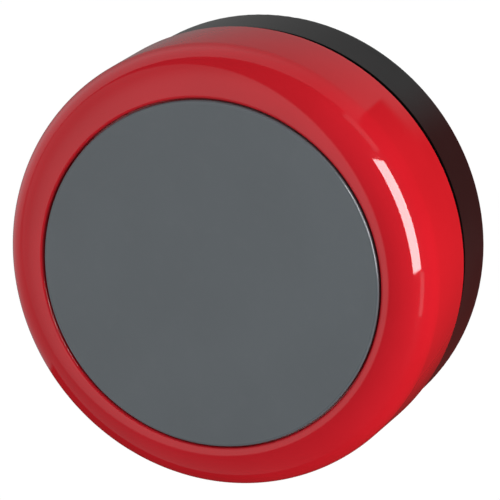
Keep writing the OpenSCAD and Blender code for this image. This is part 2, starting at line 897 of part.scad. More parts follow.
module battery_door() {
    middle_rib_l = cell_l * 0.8;
    middle_rib_h = 1.6;
    side_rib_x = 16;
    side_rib_h = 0.35;
    door_rib_t = 1.2;
    groove_l = 18;
    groove_w = 1;
    groove_pitch = 2.4;
    groove_h = 0.4;
    color("#2b2d2d") difference() {
        union() {
            door_outline(0, base_z, door_top_z);
            for (x = [-1, 1]) translate([x * ear_x, bay_y, 0])
                post(collar_r, door_top_z - bite, door_top_z + collar_h);
            // rib between the batteries and ribs that guide the door into the bay
            block([-middle_rib_l / 2, bay_y - door_rib_t / 2, door_top_z - bite],
                [middle_rib_l / 2, bay_y + door_rib_t / 2, door_top_z + middle_rib_h]);
            for (x = [-1, 1]) translate([x * side_rib_x, bay_y, 0])
                block([-door_rib_t / 2, -bay_w / 2 + door_gap, door_top_z - bite],
                    [door_rib_t / 2, bay_w / 2 - door_gap, door_top_z + side_rib_h]);
        }
        for (x = [-1, 1]) translate([x * ear_x, bay_y, 0]) {
            post(door_head_r + head_gap, base_z - bite, door_head_z + door_head_h);
            post(door_screw_r + shank_gap, base_z, door_top_z + collar_h + bite);
        }
        // grip grooves
        for (i = [-2 : 2]) translate([0, bay_y + i * groove_pitch, 0])
            block([-groove_l / 2, -groove_w / 2, base_z - bite],
                [groove_l / 2, groove_w / 2, base_z + groove_h]);
    }
}

module door_screws() {
    color("silver") for (x = [-1, 1]) translate([x * ear_x, bay_y, 0])
        screw_up(door_screw_r, door_screw_l, door_head_r, door_head_h, door_head_z + door_head_h);
}

/* Power switch */

module switch_case() {
    case_wall = 0.8;
    case_end = 1;
    room_h = 2;
    color("lightsteelblue") translate([switch_x, switch_y, 0]) difference() {
        union() {
            block([-switch_w / 2, -switch_l / 2, switch_z],
                [switch_w / 2, switch_l / 2, switch_z + switch_h]);
            block([-switch_w / 2, -switch_ear_l, switch_z],
                [switch_w / 2, switch_ear_l, switch_z + ear_t]);
        }
        for (y = [-1, 1]) translate([0, y * switch_hole, 0])
            post(small_screw_r + shank_gap, switch_z - bite, switch_z + ear_t + bite);
        // room for the lever's foot
        block([-switch_w / 2 + case_wall, -switch_l / 2 + case_end, switch_z - bite],
            [switch_w / 2 - case_wall, switch_l / 2 - case_end, switch_z + room_h]);
    }
}

module switch_lever() {
    lever_lift = 0.2;
    lever_foot_side = 1.1;
    lever_foot_end = 0.8;
    lever_foot_low = 0.3;
    lever_foot_top = 1.7;
    color("whitesmoke") translate([switch_x, switch_y - switch_travel / 2, 0]) {
        block([-lever_w / 2, -lever_l / 2, base_z + lever_lift], [lever_w / 2, lever_l / 2, switch_z + 1]);
        block([-switch_w / 2 + lever_foot_side, -lever_l / 2 - lever_foot_end, switch_z + lever_foot_low],
            [switch_w / 2 - lever_foot_side, lever_l / 2 + lever_foot_end, switch_z + lever_foot_top]);
    }
}

module switch_terminals() {
    pin_w = 1.2;
    pin_t = 0.5;
    color("gold") for (i = [-1 : 1]) translate([switch_x, switch_y + i * pin_pitch, 0])
        block([-pin_w / 2, -pin_t / 2, switch_z + switch_h],
            [pin_w / 2, pin_t / 2, switch_z + switch_h + pin_h]);
}

module switch_screws() {
    switch_screw_l = ear_t + 1.8;
    color("silver") for (y = [-1, 1]) translate([switch_x, switch_y + y * switch_hole, 0])
        screw_down(small_screw_r, switch_screw_l, small_head_r, small_head_h, switch_z + ear_t);
}

/* Wires */

pad_z = board_top_z + wire_r;
hole_z = (deck_z + deck_low_z) / 2;
pin_top_z = switch_z + switch_h + pin_h;

// Wires run from their solder joint over the deck's edge to a pad of the board
pad_in = 2;
edge_out = 1.5;
pad_hop = 0.6;
pair_pitch = 1.8;
bend_steps = 3;

// Never parallel to any stretch of a wire
wire_up = unit([0.31, 0.95, 0.17]);

module wire(route, shade) {
    color(shade) sweep(smooth_route(route, bend_steps), wire_r, wire_sides, wire_up);
}

// A wire's last two points, soldered to the board at y
function pad_end(y) = [
    [board_l / 2 + edge_out, y, pad_z + pad_hop],
    [board_l / 2 - pad_in, y, pad_z]];

module speaker_wires() {
    joint_x = basket_r + strip_t + 0.1 + wire_r;
    joint_pitch = 3;
    joint_y = speaker_y - 1.8;
    lane_y = 2.6;
    board_y = 3;
    arch = 2;
    for (i = [0, 1]) wire(concat([
        [joint_x, joint_y + joint_pitch * i, speaker_z + basket_h - arch],
        [basket_r + 6, joint_y - 0.7 + joint_pitch * i, speaker_z + basket_h + arch],
        [wire_lane_x, lane_y + pair_pitch * i, deck_low_z - 3],
        [wire_lane_x, lane_y + pair_pitch * i, hole_z],
        [wire_hole_x - 1.6, lane_y + 0.2 + pair_pitch * i, board_z]],
        pad_end(board_y + pair_pitch * i)), ["red", "black"][i]);
}

module battery_wires() {
    joint_x = plate_x + 0.3 + wire_r;
    joint_z = plate_top_z - 0.6;
    bow_y = 5;
    lane_x = wire_hole_x - 1;
    lane_y = -4.4;
    wire(concat([
        [joint_x, front_cell_y, joint_z],
        [plate_x + 2.4, front_cell_y + bow_y, plate_top_z + 0.6],
        [lane_x, lane_y - 0.2, deck_low_z - 1],
        [lane_x, lane_y, hole_z],
        [lane_x - 0.6, lane_y, board_z]],
        pad_end(lane_y)), "red");
    wire([
        [joint_x, rear_cell_y, joint_z],
        [plate_x + 3.6, rear_cell_y + bow_y, joint_z],
        [switch_x + 1, -3, pin_top_z + 3.4],
        [switch_x, switch_y - pin_pitch, pin_top_z + 2],
        [switch_x, switch_y - pin_pitch, pin_top_z + 0.1]], "black");
}

module switch_wire() {
    lane_x = wire_hole_x + 1;
    lane_y = -1.2;
    wire(concat([
        [switch_x, switch_y, pin_top_z + solder_gap],
        [switch_x, switch_y, pin_top_z + 2],
        [lane_x, lane_y, deck_low_z - 1.6],
        [lane_x, lane_y, hole_z],
        [lane_x - 1.6, lane_y - 0.2, board_z]],
        pad_end(lane_y - 0.4)), "black");
}

base_shell();
chassis();
press_cap();
label_disc();
rubber_feet();
housing_screws();
guide_screws();
guide_washers();
return_springs();
circuit_board();
board_screws();
sound_chip();
capacitor();
transistor();
resistors();
dome_switch();
contact_pill();
speaker_basket();
speaker_magnet();
speaker_cone();
speaker_terminals();
speaker_gasket();
speaker_clips();
speaker_screws();
battery_1();
battery_2();
bridge_contact();
plus_contact();
minus_contact();
contact_springs();
battery_door();
door_screws();
switch_case();
switch_lever();
switch_terminals();
switch_screws();
speaker_wires();
battery_wires();
switch_wire();
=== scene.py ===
import json
import math
import bmesh
import bpy
from mathutils import Matrix, Vector


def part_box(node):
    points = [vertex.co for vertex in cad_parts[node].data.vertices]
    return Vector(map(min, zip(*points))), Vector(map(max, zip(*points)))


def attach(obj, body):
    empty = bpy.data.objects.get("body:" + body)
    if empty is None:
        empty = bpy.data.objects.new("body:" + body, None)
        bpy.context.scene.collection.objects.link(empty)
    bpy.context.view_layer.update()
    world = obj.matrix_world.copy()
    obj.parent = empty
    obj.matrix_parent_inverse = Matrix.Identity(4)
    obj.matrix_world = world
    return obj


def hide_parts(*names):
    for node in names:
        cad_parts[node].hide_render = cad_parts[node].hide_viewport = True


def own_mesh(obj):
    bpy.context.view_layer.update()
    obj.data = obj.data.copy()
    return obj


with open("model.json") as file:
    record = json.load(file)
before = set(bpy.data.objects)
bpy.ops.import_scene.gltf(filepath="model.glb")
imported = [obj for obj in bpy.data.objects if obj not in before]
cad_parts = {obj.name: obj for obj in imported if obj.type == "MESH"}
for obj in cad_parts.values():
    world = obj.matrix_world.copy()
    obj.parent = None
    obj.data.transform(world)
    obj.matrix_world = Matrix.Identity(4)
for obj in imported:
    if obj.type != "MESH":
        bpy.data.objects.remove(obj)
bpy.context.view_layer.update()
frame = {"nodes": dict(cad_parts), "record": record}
scene = bpy.context.scene
MM = 0.001

# Where repeated pieces stand: degrees round the buzzer's axis, and millimetres out from it
GUIDE_ANGLES = (45, 135, 225, 315)
GUIDE_RING = 30
FOOT_ANGLES = (0, 90, 180, 270)
FOOT_RING = 36.8

# The silicone key and the plunger over it, in millimetres
KEY_RADIUS = 4

# CAD nodes that only need their edges eased: node, new piece, body, width of the eased edge in millimetres
EASED = (
    ("chassis", "inner_deck", "housing", 0.15),
    ("battery_door", "door_panel", "door", 0.2),
    ("switch_lever", "lever_knob", "lever", 0.18),
    ("circuit_board", "board_panel", "housing", 0.1),
    ("switch_case", "switch_body", "housing", 0.1),
    ("speaker_basket", "basket_frame", "housing", 0.12),
    ("speaker_clips", "hold_downs", "housing", 0.1),
    ("door_screws", "door_bolts", "door", 0.06),
    ("housing_screws", "shell_bolts", "housing", 0.06),
)

# Softboxes: name, azimuths and elevations in degrees, distance in metres, radiance,
# whether it lights matt surfaces, and whether gloss shows it
SOFTBOXES = (
    ("window_softbox", (-45, -3), (9, 32), 0.45, 15, False, True),
    ("low_left_softbox", (-62, -46), (2, 12), 0.5, 0.9, False, True),
    ("low_right_softbox", (1, 19), (0, 13), 0.5, 0.5, False, True),
    ("front_fill", (-80, 8), (0, 24), 1.0, 4.2, True, False),
)

# Brightness of the room for matt surfaces, on its dim side and its bright side, and below the floor
ROOM_DIM = 0.2
ROOM_BRIGHT = 0.76
ROOM_BELOW = 1.1

# Finishes and node groups, filled once the studio stands
shared = {}
finishes = {}


# ---------------------------------------------------------------- studio

def make_camera():
    """A long lens looking down on the buzzer from the front, rolled so that the base lies upper right."""
    lean, roll = math.radians(25.75), math.radians(-35.58)
    # where the camera sees the middle of the shell's underside
    away, right, down = 978.3 * MM, 5.83 * MM, -4.94 * MM
    sensor, sensors_to_lens = 36, 9.603
    shell_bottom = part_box("base_shell")[0].z
    # the buzzer's own directions as the camera sees them: x right, y down, z away
    up_c = Vector((-math.sin(lean) * math.cos(roll), -math.sin(lean) * math.sin(roll), -math.cos(lean)))
    side_c = Vector((-math.sin(roll), math.cos(roll), 0))
    near_c = (Vector((0, 0, -1)) + up_c * up_c.z).normalized()
    # the same three directions in the model: up, left and towards the viewer
    up, side, near = Vector((0, 0, 1)), Vector((-1, 0, 0)), Vector((0, -1, 0))

    def axis(i):
        return near * near_c[i] + side * side_c[i] + up * up_c[i]

    x, y, z = axis(0), axis(1), axis(2)
    base = Vector((0, 0, shell_bottom))
    place = base - (x * right + y * down + z * away)
    data = bpy.data.cameras.new("camera")
    data.sensor_width = sensor
    data.lens = sensors_to_lens * sensor
    data.clip_start, data.clip_end = 0.01, 20
    camera = bpy.data.objects.new("camera", data)
    turn = Matrix((x, -y, -z)).transposed()
    camera.matrix_world = Matrix.Translation(place) @ turn.to_4x4()
    scene.collection.objects.link(camera)
    scene.camera = camera


def toward(azimuth, elevation):
    """A direction: azimuth 0 points to the front of the buzzer and 90 to its right, in degrees."""
    a, e = math.radians(azimuth), math.radians(elevation)
    return Vector((math.sin(a) * math.cos(e), -math.cos(a) * math.cos(e), math.sin(e)))


def softbox(name, azimuths, elevations, distance, radiance, lights_matt, shows_in_gloss):
    """A softbox that fills a range of directions, upright, facing the buzzer."""
    cap_middle = Vector((0, 0, 36 * MM))
    middle = toward(sum(azimuths) / 2, sum(elevations) / 2)
    data = bpy.data.lights.new(name, "AREA")
    data.shape = "RECTANGLE"
    data.size = 2 * distance * math.tan(math.radians(abs(azimuths[1] - azimuths[0]) / 2))
    data.size_y = 2 * distance * math.tan(math.radians(abs(elevations[1] - elevations[0]) / 2))
    data.energy = radiance * math.pi * data.size * data.size_y
    light = bpy.data.objects.new(name, data)
    across = Vector((0, 0, 1)).cross(middle).normalized()
    turn = Matrix((across, middle.cross(across), middle)).transposed()
    light.matrix_world = Matrix.Translation(cap_middle + middle * distance) @ turn.to_4x4()
    light.visible_diffuse = lights_matt
    light.visible_glossy = shows_in_gloss
    light.visible_camera = False
    scene.collection.objects.link(light)


def ramp(nodes, links, source, low, high, start, end):
    """Goes smoothly from start to end while the source goes from low to high."""
    node = nodes.new("ShaderNodeMapRange")
    node.interpolation_type = "SMOOTHSTEP"
    node.inputs["From Min"].default_value, node.inputs["From Max"].default_value = low, high
    node.inputs["To Min"].default_value, node.inputs["To Max"].default_value = start, end
    links.new(source, node.inputs["Value"])
    return node.outputs["Result"]


def along(nodes, links, source, direction):
    """How far a vector points in a direction."""
    node = nodes.new("ShaderNodeVectorMath")
    node.operation = "DOT_PRODUCT"
    node.inputs[1].default_value = Vector(direction).normalized()
    links.new(source, node.inputs[0])
    return node.outputs["Value"]


def blend(nodes, links, factor, a, b):
    """A value between two; each is a number or the result of another node."""
    node = nodes.new("ShaderNodeMix")
    links.new(factor, node.inputs["Factor"])
    for name, value in (("A", a), ("B", b)):
        if isinstance(value, (int, float)):
            node.inputs[name].default_value = value
        else:
            links.new(value, node.inputs[name])
    return node.outputs["Result"]


def times(nodes, links, a, b):
    """Two results multiplied."""
    node = nodes.new("ShaderNodeMath")
    node.operation = "MULTIPLY"
    links.new(a, node.inputs[0])
    links.new(b, node.inputs[1])
    return node.outputs["Value"]


def make_room_light():
    """A pale room, bright behind and to the right of the buzzer; gloss shows it dark in front."""
    world = bpy.data.worlds.new("studio")
    world.use_nodes = True
    nodes, links = world.node_tree.nodes, world.node_tree.links
    background = nodes["Background"]
    way = nodes.new("ShaderNodeTexCoord").outputs["Generated"]
    bright_side = along(nodes, links, way, (0.65, 0.55, 0.5))
    bright_wall = along(nodes, links, way, toward(125, 45))
    upward = along(nodes, links, way, (0, 0, 1))
    backward = along(nodes, links, way, (0, 1, 0))
    matt = ramp(nodes, links, bright_side, 0.38, 0.58, ROOM_DIM, ROOM_BRIGHT)
    patch = ramp(nodes, links, bright_wall, 0.69, 0.75, 0, 1)
    height = ramp(nodes, links, upward, 0.35, 0.95, 0.42, 0.9)
    dark = ramp(nodes, links, backward, 0.4, 1.0, 0.05, 0.3)
    gloss = blend(nodes, links, patch, dark, times(nodes, links, patch, height))
    seen = nodes.new("ShaderNodeLightPath")
    below = ramp(nodes, links, upward, -0.02, -0.1, 0, 1)
    above = blend(nodes, links, seen.outputs["Is Glossy Ray"], matt, gloss)
    level = blend(nodes, links, below, above, ROOM_BELOW)
    shown = blend(nodes, links, seen.outputs["Is Camera Ray"], level, 1)
    links.new(shown, background.inputs["Strength"])
    background.inputs["Color"].default_value = (1, 1, 1, 1)
    scene.world = world


def make_studio():
    """Room light, softboxes and a floor of white paper."""
    scene.view_settings.view_transform = "Standard"
    make_room_light()
    for row in SOFTBOXES:
        softbox(*row)

    floor_half = 3
    bm = bmesh.new()
    bmesh.ops.create_grid(bm, x_segments=1, y_segments=1, size=floor_half)
    floor = finished_mesh(bm, "studio_floor")
    floor.data.materials.append(floor_finish())


# ---------------------------------------------------------------- shared shaping

def finished_mesh(bm, name, smooth_angle=None):
    """Ends a bmesh as an object, shaded smooth across edges flatter than an angle in degrees."""
    mesh = bpy.data.meshes.new(name)
    bm.to_mesh(mesh)
    bm.free()
    piece = bpy.data.objects.new(name, mesh)
    scene.collection.objects.link(piece)
    if smooth_angle is not None:
        mesh.shade_smooth()
        mesh.set_sharp_from_angle(angle=math.radians(smooth_angle))
    return piece


def arc(cx, cz, r, start, end, steps):
    """Points of a round corner in the turning plane, in millimetres."""
    return [(cx + r * math.cos(math.radians(start + (end - start) * i / steps)),
             cz + r * math.sin(math.radians(start + (end - start) * i / steps))) for i in range(steps + 1)]


def turned(bm, outline, steps):
    """Turns a half outline, given as radius and height in millimetres, about the buzzer's axis.

    An outline that starts off the axis is a ring's section, and is closed.
    """
    ring = [bm.verts.new((r * MM, 0, z * MM)) for r, z in outline]
    edges = [bm.edges.new((a, b)) for a, b in zip(ring, ring[1:])]
    if outline[0][0] > 0:
        edges.append(bm.edges.new((ring[-1], ring[0])))
    bmesh.ops.spin(bm, geom=ring + edges, cent=(0, 0, 0), axis=(0, 0, 1), angle=2 * math.pi, steps=steps,
                   use_merge=True)
    bmesh.ops.remove_doubles(bm, verts=bm.verts, dist=1e-7)
    bmesh.ops.recalc_face_normals(bm, faces=bm.faces)


# ---------------------------------------------------------------- finishes

def new_finish(name):
    """A new material, with its nodes, links and shader."""
    material = bpy.data.materials.new(name)
    material.use_nodes = True
    nodes, links = material.node_tree.nodes, material.node_tree.links
    return material, nodes, links, nodes["Principled BSDF"]


def floor_finish():
    """White paper, clear from below. The camera sees it evenly white; every other ray sees it glow with
    painted light: a painted red bounce in front of the cap, painted white at the side, a painted shadow close
    round the base and a brighter glow under the buzzer.
    """
    material, nodes, links, shader = new_finish("studio_paper")
    place = nodes.new("ShaderNodeTexCoord").outputs["Object"]
    fibre = nodes.new("ShaderNodeTexNoise")
    fibre.inputs["Scale"].default_value = 400
    links.new(place, fibre.inputs["Vector"])
    links.new(ramp(nodes, links, fibre.outputs["Fac"], 0, 1, 0.6, 0.7), shader.inputs["Roughness"])
    shader.inputs["Base Color"].default_value = (0.02, 0.02, 0.02, 1)
    shader.inputs["Specular IOR Level"].default_value = 0
    outward = nodes.new("ShaderNodeVectorMath")
    outward.operation = "NORMALIZE"
    links.new(place, outward.inputs[0])
    reach = nodes.new("ShaderNodeVectorMath")
    reach.operation = "LENGTH"
    links.new(place, reach.inputs[0])
    far = reach.outputs["Value"]
    rightward = along(nodes, links, outward.outputs["Vector"], toward(95, 0))
    # painted reflection: the paper glows so that the base mirrors the glow close to it, and the cap mirrors
    # it farther out
    by_the_base = ramp(nodes, links, rightward, -0.22, 0.14, 0, 1)
    by_the_cap = ramp(nodes, links, rightward, 0.13, 0.155, 0, 1)
    past_the_base = ramp(nodes, links, far, 0.051, 0.054, 0, 1)
    right_side = blend(nodes, links, past_the_base, by_the_base, by_the_cap)
    # painted light: the glow grows brighter towards the right, and a painted shadow dims it close round the
    # base
    open_floor = ramp(nodes, links, rightward, 0.3, 0.95, 0.25, 1)
    past_painted_shadow = ramp(nodes, links, far, 0.06, 0.1, 0, 1)
    white = tinted(nodes, links, times(nodes, links, open_floor, past_painted_shadow),
                   (0.19, 0.19, 0.19), (0.62, 0.62, 0.64))
    # painted red bounce light from the cap, which matt surfaces pick up from the paper
    painted_matt_glow = tinted(nodes, links, right_side, (0.16, 0.012, 0.01), white)
    seen = nodes.new("ShaderNodeLightPath")
    painted_glow = tinted(nodes, links, right_side, (0.6, 0.05, 0.05), (0.3, 0.3, 0.3))
    painted_glow = tinted(nodes, links, seen.outputs["Is Diffuse Ray"], painted_matt_glow, painted_glow)
    # painted light: the paper under the buzzer glows brighter and lights its underside
    underneath = ramp(nodes, links, far, 0.043, 0.041, 0, 1)
    painted_glow = tinted(nodes, links, underneath, painted_glow, (1.1, 1.1, 1.1))
    # camera rays see plain even white; the painted glow shows only in reflections and bounce
    links.new(tinted(nodes, links, seen.outputs["Is Camera Ray"], painted_glow, (1.0, 1.0, 1.0)),
              shader.inputs["Emission Color"])
    shader.inputs["Emission Strength"].default_value = 1
    side = nodes.new("ShaderNodeNewGeometry")
    links.new(blend(nodes, links, side.outputs["Backfacing"], 1, 0), shader.inputs["Alpha"])
    return material


def shared_group(name, inputs, outputs):
    """A node group with float or vector inputs and float outputs; returns its tree and its two end nodes."""
    tree = bpy.data.node_groups.new(name, "ShaderNodeTree")
    for label, default in inputs:
        kind = "NodeSocketVector" if default is None else "NodeSocketFloat"
        socket = tree.interface.new_socket(label, in_out="INPUT", socket_type=kind)
        if default is not None:
            socket.default_value = default
    for label in outputs:
        tree.interface.new_socket(label, in_out="OUTPUT", socket_type="NodeSocketFloat")
    return tree, tree.nodes.new("NodeGroupInput"), tree.nodes.new("NodeGroupOutput")


def noise(nodes, links, vector, scale, detail=3.0, distortion=0.0):
    """Noise over a vector; its scale is a number or the result of another node."""
    node = nodes.new("ShaderNodeTexNoise")
    node.inputs["Detail"].default_value = detail
    node.inputs["Distortion"].default_value = distortion
    links.new(vector, node.inputs["Vector"])
    if isinstance(scale, (int, float)):
        node.inputs["Scale"].default_value = scale
    else:
        links.new(scale, node.inputs["Scale"])
    return node.outputs["Fac"]


def stretched(nodes, links, vector, scale):
    """A vector multiplied axis by axis, which draws a pattern out."""
    node = nodes.new("ShaderNodeMapping")
    node.inputs["Scale"].default_value = scale
    links.new(vector, node.inputs["Vector"])
    return node.outputs["Vector"]


def make_moulding_grain():
    """Fine spark texture of a mould, and the slow change of tone over a moulded part."""
    sockets = [("Vector", None), ("Scale", 900.0)]
    tree, given, result = shared_group("moulding_grain", sockets, ["Height", "Tone"])
    nodes, links = tree.nodes, tree.links
    fine = noise(nodes, links, given.outputs["Vector"], given.outputs["Scale"], 5)
    links.new(fine, result.inputs["Height"])
    slow = noise(nodes, links, given.outputs["Vector"], 45, 2)
    links.new(ramp(nodes, links, slow, 0.35, 0.65, 0, 1), result.inputs["Tone"])
    return tree


def make_handling():
    """Soft rubbed patches and sparse hair scratches from use."""
    tree, given, result = shared_group("handling", [("Vector", None)], ["Rubbed", "Scratch"])
    nodes, links = tree.nodes, tree.links
    patches = noise(nodes, links, given.outputs["Vector"], 28, 4, 0.6)
    links.new(ramp(nodes, links, patches, 0.5, 0.72, 0, 1), result.inputs["Rubbed"])
    lines = noise(nodes, links, stretched(nodes, links, given.outputs["Vector"], (1, 9, 3)), 160, 2, 1.2)
    where = noise(nodes, links, given.outputs["Vector"], 60, 1)
    lines = ramp(nodes, links, lines, 0.7, 0.74, 0, 1)
    where = ramp(nodes, links, where, 0.5, 0.6, 0, 1)
    links.new(times(nodes, links, lines, where), result.inputs["Scratch"])
    return tree


def make_settled_dust():
    """Thin dust on faces that look up."""
    tree, given, result = shared_group("settled_dust", [("Vector", None)], ["Dust"])
    nodes, links = tree.nodes, tree.links
    shape = nodes.new("ShaderNodeNewGeometry")
    up = ramp(nodes, links, along(nodes, links, shape.outputs["Normal"], (0, 0, 1)), 0.6, 0.95, 0, 1)
    specks = ramp(nodes, links, noise(nodes, links, given.outputs["Vector"], 350, 6), 0.45, 0.75, 0, 1)
    links.new(times(nodes, links, up, specks), result.inputs["Dust"])
    return tree


def make_drawn_metal():
    """Long fine lines that drawing or rolling leaves in metal, with slightly dulled spots."""
    tree, given, result = shared_group("drawn_metal", [("Vector", None)], ["Lines", "Dull"])
    nodes, links = tree.nodes, tree.links
    links.new(noise(nodes, links, stretched(nodes, links, given.outputs["Vector"], (1, 1, 14)), 500, 3),
              result.inputs["Lines"])
    spots = noise(nodes, links, given.outputs["Vector"], 220, 4)
    links.new(ramp(nodes, links, spots, 0.48, 0.7, 0, 1), result.inputs["Dull"])
    return tree


def placed(nodes, links, tree, vector, scale=None):
    """One of the shared effects, set into a material."""
    node = nodes.new("ShaderNodeGroup")
    node.node_tree = tree
    links.new(vector, node.inputs["Vector"])
    if scale is not None:
        node.inputs["Scale"].default_value = scale
    return node.outputs


def tinted(nodes, links, factor, a, b):
    """A colour between two; each is a colour or the result of another node."""
    node = nodes.new("ShaderNodeMix")
    node.data_type = "RGBA"
    links.new(factor, node.inputs[0])
    for i, colour in ((6, a), (7, b)):
        if isinstance(colour, tuple):
            node.inputs[i].default_value = (*colour, 1)
        else:
            links.new(colour, node.inputs[i])
    return node.outputs[2]


def faded(nodes, links, mask, most):
    """A mask held back to a share of its strength."""
    return ramp(nodes, links, mask, 0, 1, 0, most)


def raised(nodes, links, shader, height, depth_mm):
    """Lets a height stand out of the surface by a depth in millimetres."""
    bump = nodes.new("ShaderNodeBump")
    bump.inputs["Strength"].default_value = 1
    bump.inputs["Distance"].default_value = depth_mm * MM
    links.new(height, bump.inputs["Height"])
    links.new(bump.outputs["Normal"], shader.inputs["Normal"])


def plastic(name, colour, rough, grain=900, depth=0.004, tone=0.06, worn=0.15, dust=0.0, specular=0.5):
    """Moulded plastic, rubber or paint: toned colour, rubbed patches, scratches, dust and grain."""
    material, nodes, links, shader = new_finish(name)
    place = nodes.new("ShaderNodeTexCoord").outputs["Object"]
    skin = placed(nodes, links, shared["grain"], place, grain)
    use = placed(nodes, links, shared["handling"], place)
    low = tuple(c * (1 - tone) for c in colour)
    high = tuple(min(c * (1 + tone), 1) for c in colour)
    body = tinted(nodes, links, skin["Tone"], low, high)
    lighter = tuple(c + (0.5 - c) * 0.12 for c in colour)
    body = tinted(nodes, links, faded(nodes, links, use["Scratch"], worn), body, lighter)
    if dust:
        settled = placed(nodes, links, shared["dust"], place)["Dust"]
        body = tinted(nodes, links, faded(nodes, links, settled, dust), body, (0.35, 0.34, 0.32))
    links.new(body, shader.inputs["Base Color"])
    links.new(ramp(nodes, links, use["Rubbed"], 0, 1, rough, rough * (1 + worn)), shader.inputs["Roughness"])
    shader.inputs["Specular IOR Level"].default_value = specular
    raised(nodes, links, shader, skin["Height"], depth)
    return material


def metal(name, colour, rough, depth=0.002):
    """Drawn or rolled metal with dulled spots."""
    material, nodes, links, shader = new_finish(name)
    place = nodes.new("ShaderNodeTexCoord").outputs["Object"]
    drawn = placed(nodes, links, shared["drawn"], place)
    dull = tuple(c * 0.78 for c in colour)
    body = tinted(nodes, links, faded(nodes, links, drawn["Dull"], 0.7), colour, dull)
    links.new(body, shader.inputs["Base Color"])
    links.new(ramp(nodes, links, drawn["Dull"], 0, 1, rough, rough + 0.14), shader.inputs["Roughness"])
    shader.inputs["Metallic"].default_value = 1
    raised(nodes, links, shader, drawn["Lines"], depth)
    return material


def board_finish():
    """Green solder mask over copper tracks, which show as paler raised lines, and tinned pads."""
    material, nodes, links, shader = new_finish("board_green")
    place = nodes.new("ShaderNodeTexCoord").outputs["Object"]
    skin = placed(nodes, links, shared["grain"], place, 1500)
    cells = nodes.new("ShaderNodeTexVoronoi")
    cells.distance = "MANHATTAN"
    cells.feature = "F1"
    cells.inputs["Scale"].default_value = 260
    cells.inputs["Randomness"].default_value = 0.6
    links.new(place, cells.inputs["Vector"])
    tracks = ramp(nodes, links, cells.outputs["Distance"], 0.50, 0.58, 0, 1)
    pads = ramp(nodes, links, cells.outputs["Distance"], 0.16, 0.12, 0, 1)
    mask = tinted(nodes, links, skin["Tone"], (0.012, 0.11, 0.045), (0.02, 0.16, 0.06))
    body = tinted(nodes, links, tracks, mask, (0.05, 0.26, 0.1))
    body = tinted(nodes, links, pads, body, (0.62, 0.6, 0.55))
    links.new(body, shader.inputs["Base Color"])
    links.new(ramp(nodes, links, pads, 0, 1, 0.3, 0.42), shader.inputs["Roughness"])
    links.new(ramp(nodes, links, pads, 0, 1, 0, 0.9), shader.inputs["Metallic"])
    raised(nodes, links, shader, tracks, 0.02)
    return material


def battery_finish():
    """A printed amber sleeve with a plain grey band at the plus end, between bare steel ends."""
    material, nodes, links, shader = new_finish("battery_sleeve")
    place = nodes.new("ShaderNodeTexCoord").outputs["Object"]
    share = nodes.new("ShaderNodeAttribute")
    share.attribute_name = "along"
    # 0 at the minus end and 1 at the tip of the plus cap
    along_cell = share.outputs["Fac"]
    minus = ramp(nodes, links, along_cell, 0.008, 0.006, 0, 1)
    plus = ramp(nodes, links, along_cell, 0.967, 0.969, 0, 1)
    band = ramp(nodes, links, along_cell, 0.72, 0.724, 0, 1)
    skin = placed(nodes, links, shared["grain"], place, 700)
    use = placed(nodes, links, shared["handling"], place)
    sleeve = tinted(nodes, links, skin["Tone"], (0.5, 0.32, 0.06), (0.6, 0.4, 0.1))
    sleeve = tinted(nodes, links, band, sleeve, (0.13, 0.14, 0.16))
    sleeve = tinted(nodes, links, faded(nodes, links, use["Scratch"], 0.4), sleeve, (0.6, 0.58, 0.5))
    steel = tinted(nodes, links, skin["Tone"], (0.6, 0.59, 0.57), (0.72, 0.71, 0.68))
    body = tinted(nodes, links, minus, tinted(nodes, links, plus, sleeve, steel), steel)
    bare = blend(nodes, links, minus, plus, 1)
    links.new(body, shader.inputs["Base Color"])
    links.new(bare, shader.inputs["Metallic"])
    links.new(ramp(nodes, links, bare, 0, 1, 0.24, 0.32), shader.inputs["Roughness"])
    raised(nodes, links, shader, skin["Height"], 0.003)
    return material


def cap_finish():
    """Polished red plastic: a deep even red, a mirror skin with faint moulding swell and finger marks."""
    material, nodes, links, shader = new_finish("red_gloss")
    place = nodes.new("ShaderNodeTexCoord").outputs["Object"]
    skin = placed(nodes, links, shared["grain"], place, 130)
    use = placed(nodes, links, shared["handling"], place)
    red = tinted(nodes, links, skin["Tone"], (0.72, 0.0148, 0.0255), (0.76, 0.0162, 0.0285))
    links.new(tinted(nodes, links, faded(nodes, links, use["Scratch"], 0.05), red, (0.8, 0.12, 0.12)),
              shader.inputs["Base Color"])
    links.new(ramp(nodes, links, use["Rubbed"], 0, 1, 0.05, 0.085), shader.inputs["Roughness"])
    raised(nodes, links, shader, skin["Height"], 0.0022)
    return material


